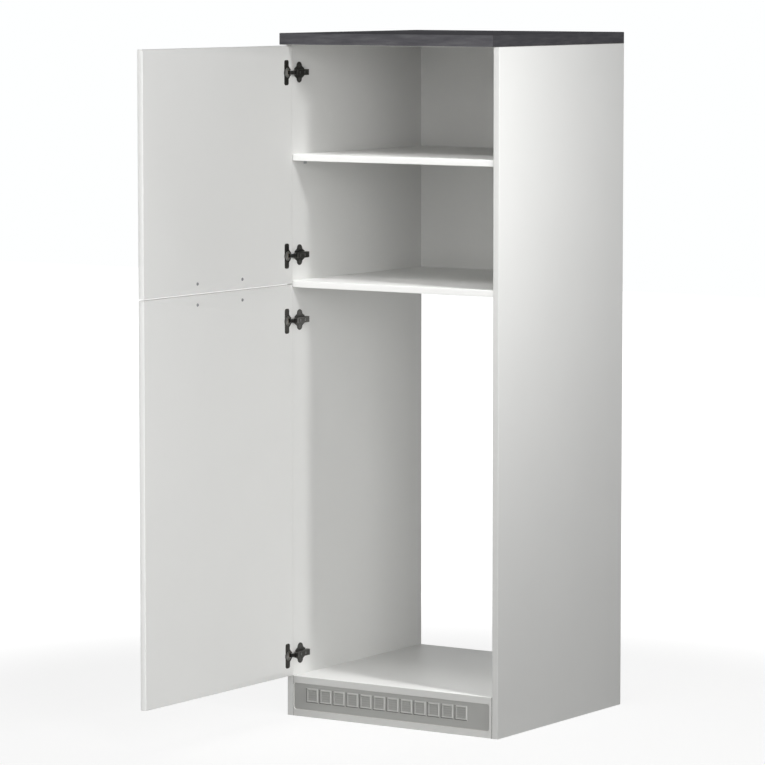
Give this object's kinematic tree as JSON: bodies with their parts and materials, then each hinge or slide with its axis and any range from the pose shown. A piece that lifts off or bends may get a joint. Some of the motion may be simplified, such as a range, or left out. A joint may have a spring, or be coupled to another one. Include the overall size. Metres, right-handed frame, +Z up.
{
  "type": "fridge housing unit",
  "caption": "Tall kitchen housing for a fridge: hinged doors, shelves above an open niche, a vented plinth and an overhanging dark top plate.",
  "frame": {"origin": "on the floor, at the middle of the bottom edge of the plinth board, half way through its thickness", "axes": "+X to the right seen from the front, +Y to the back, +Z up; the doors open towards -Y"},
  "size_m": [0.623, 1.174, 1.65],
  "materials": {
    "white_board": "white melamine on particle board, fine satin grain, edges banded",
    "dark_top": "slate-grey laminate with a fine streaked grain",
    "grey_plastic": "moulded grey plastic, satin",
    "dark_hinge": "dark nickel-plated pressed steel",
    "zinc_fitting": "bright zinc plate",
    "steel_handle": "brushed stainless look",
    "beech_dowel": "plain turned beech"
  },
  "bodies": {
    "carcass": {"side_panel_left": "white_board", "side_panel_right": "white_board", "fixed_shelf": "white_board", "adjustable_shelf": "white_board", "bottom_panel": "white_board", "back_panel": "white_board", "plinth_board": "white_board", "top_plate": "dark_top", "vent_grille": "grey_plastic", "shelf_cam_front_left": "zinc_fitting", "bottom_cam_front_left": "zinc_fitting", "top_dowel_front_left": "beech_dowel", "shelf_pin_front_left": "zinc_fitting", "shelf_cam_rear_left": "zinc_fitting", "bottom_cam_rear_left": "zinc_fitting", "top_dowel_rear_left": "beech_dowel", "shelf_pin_rear_left": "zinc_fitting", "shelf_cam_front_right": "zinc_fitting", "bottom_cam_front_right": "zinc_fitting", "top_dowel_front_right": "beech_dowel", "shelf_pin_front_right": "zinc_fitting", "shelf_cam_rear_right": "zinc_fitting", "bottom_cam_rear_right": "zinc_fitting", "top_dowel_rear_right": "beech_dowel", "shelf_pin_rear_right": "zinc_fitting", "plinth_dowel_left": "beech_dowel", "plinth_dowel_right": "beech_dowel", "lower_bottom_hinge_arm": "dark_hinge", "lower_bottom_mounting_plate": "dark_hinge", "lower_bottom_plate_screw_low": "zinc_fitting", "lower_bottom_plate_screw_high": "zinc_fitting", "lower_top_hinge_arm": "dark_hinge", "lower_top_mounting_plate": "dark_hinge", "lower_top_plate_screw_low": "zinc_fitting", "lower_top_plate_screw_high": "zinc_fitting", "upper_bottom_hinge_arm": "dark_hinge", "upper_bottom_mounting_plate": "dark_hinge", "upper_bottom_plate_screw_low": "zinc_fitting", "upper_bottom_plate_screw_high": "zinc_fitting", "upper_top_hinge_arm": "dark_hinge", "upper_top_mounting_plate": "dark_hinge", "upper_top_plate_screw_low": "zinc_fitting", "upper_top_plate_screw_high": "zinc_fitting"},
    "upper_door_leaf": {"upper_bottom_hinge_cup": "dark_hinge", "upper_top_hinge_cup": "dark_hinge", "upper_door": "white_board", "upper_handle": "steel_handle", "upper_handle_screw_inner": "zinc_fitting", "upper_handle_screw_outer": "zinc_fitting"},
    "lower_door_leaf": {"lower_bottom_hinge_cup": "dark_hinge", "lower_top_hinge_cup": "dark_hinge", "lower_door": "white_board", "lower_handle": "steel_handle", "lower_handle_screw_inner": "zinc_fitting", "lower_handle_screw_outer": "zinc_fitting"},
    "lower_bottom_link": {"lower_bottom_hinge_link": "dark_hinge"},
    "lower_top_link": {"lower_top_hinge_link": "dark_hinge"},
    "upper_bottom_link": {"upper_bottom_hinge_link": "dark_hinge"},
    "upper_top_link": {"upper_top_hinge_link": "dark_hinge"}
  },
  "joints": [
    {"name": "upper_door_swing", "type": "hinge", "parent": "carcass", "child": "upper_door_leaf", "pos_m": [-0.29, -0.022, 1.3355], "axis": [0, 0, 1], "range_deg": [-5, 90]},
    {"name": "lower_door_swing", "type": "hinge", "parent": "carcass", "child": "lower_door_leaf", "pos_m": [-0.29, -0.022, 0.574], "axis": [0, 0, 1], "range_deg": [-5, 90]},
    {"name": "lower_bottom_link_turn", "type": "hinge", "parent": "carcass", "child": "lower_bottom_link", "pos_m": [-0.2715, -0.014, 0.15], "axis": [0, 0, 1], "range_deg": [-39, 3]},
    {"name": "lower_top_link_turn", "type": "hinge", "parent": "carcass", "child": "lower_top_link", "pos_m": [-0.2715, -0.014, 0.9615], "axis": [0, 0, 1], "range_deg": [-39, 3]},
    {"name": "upper_bottom_link_turn", "type": "hinge", "parent": "carcass", "child": "upper_bottom_link", "pos_m": [-0.2715, -0.014, 1.118], "axis": [0, 0, 1], "range_deg": [-39, 3]},
    {"name": "upper_top_link_turn", "type": "hinge", "parent": "carcass", "child": "upper_top_link", "pos_m": [-0.2715, -0.014, 1.556], "axis": [0, 0, 1], "range_deg": [-39, 3]}
  ],
  "couplings": [
    {"joint": "lower_bottom_link_turn", "follows": "lower_door_swing", "ratio": -0.424},
    {"joint": "lower_top_link_turn", "follows": "lower_door_swing", "ratio": -0.424},
    {"joint": "upper_bottom_link_turn", "follows": "upper_door_swing", "ratio": -0.424},
    {"joint": "upper_top_link_turn", "follows": "upper_door_swing", "ratio": -0.424}
  ]
}
